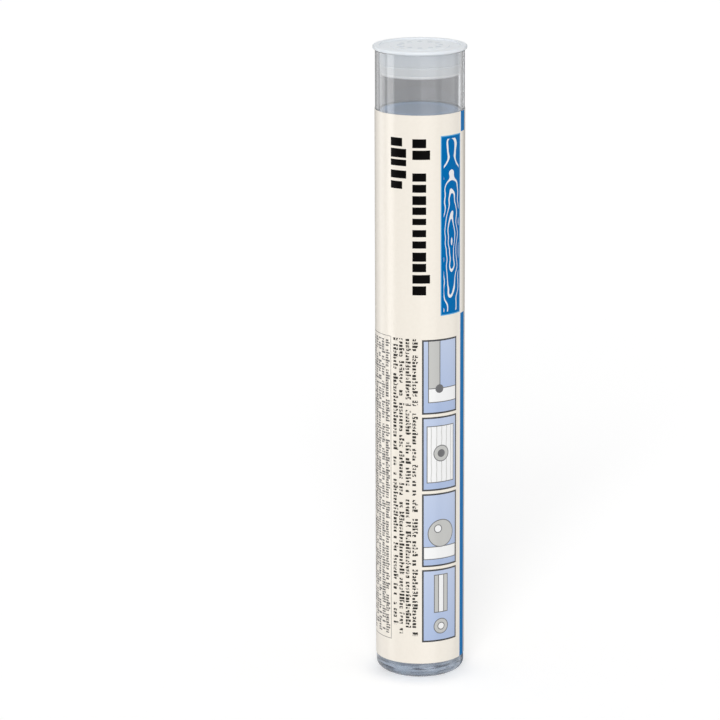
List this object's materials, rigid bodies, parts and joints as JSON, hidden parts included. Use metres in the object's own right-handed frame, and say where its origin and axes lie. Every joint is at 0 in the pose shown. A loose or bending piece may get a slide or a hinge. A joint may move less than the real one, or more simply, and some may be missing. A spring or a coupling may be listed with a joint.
{
  "type": "epoxy wood repair stick",
  "caption": "Stick of two-part kneading putty for wood repairs, wrapped in film, in a clear round-based tube with a wrap-around label and a push-in plug cap.",
  "frame": {"origin": "centre of the foot that the tube stands on", "axes": "+Z along the tube, towards the cap; the front of the label faces -Y, its seam +Y"},
  "size_m": [0.0268, 0.0268, 0.1846],
  "materials": {
    "clear_tube": "clear, faintly smoky moulded polystyrene, polished",
    "milky_cap": "translucent natural polythene, satin",
    "label_print": "cream printed label film, semi-gloss",
    "clear_film": "thin clear wrapping film, glossy",
    "sheath_putty": "blue-grey unmixed epoxy putty, waxy matt",
    "core_putty": "pale grey unmixed epoxy putty, waxy matt"
  },
  "bodies": {
    "tube": {"tube": "clear_tube", "wrap_label": "label_print"},
    "stick": {"protective_film": "clear_film", "putty_sheath": "sheath_putty", "putty_core": "core_putty"},
    "cap": {"plug_cap": "milky_cap"}
  },
  "joints": [
    {"name": "stick_slide", "type": "slide", "parent": "tube", "child": "stick", "axis": [0, 0, 1], "range_m": [0, 0.19]},
    {"name": "cap_pull", "type": "slide", "parent": "stick", "child": "cap", "axis": [0, 0, 1], "range_m": [0, 0.03]}
  ]
}
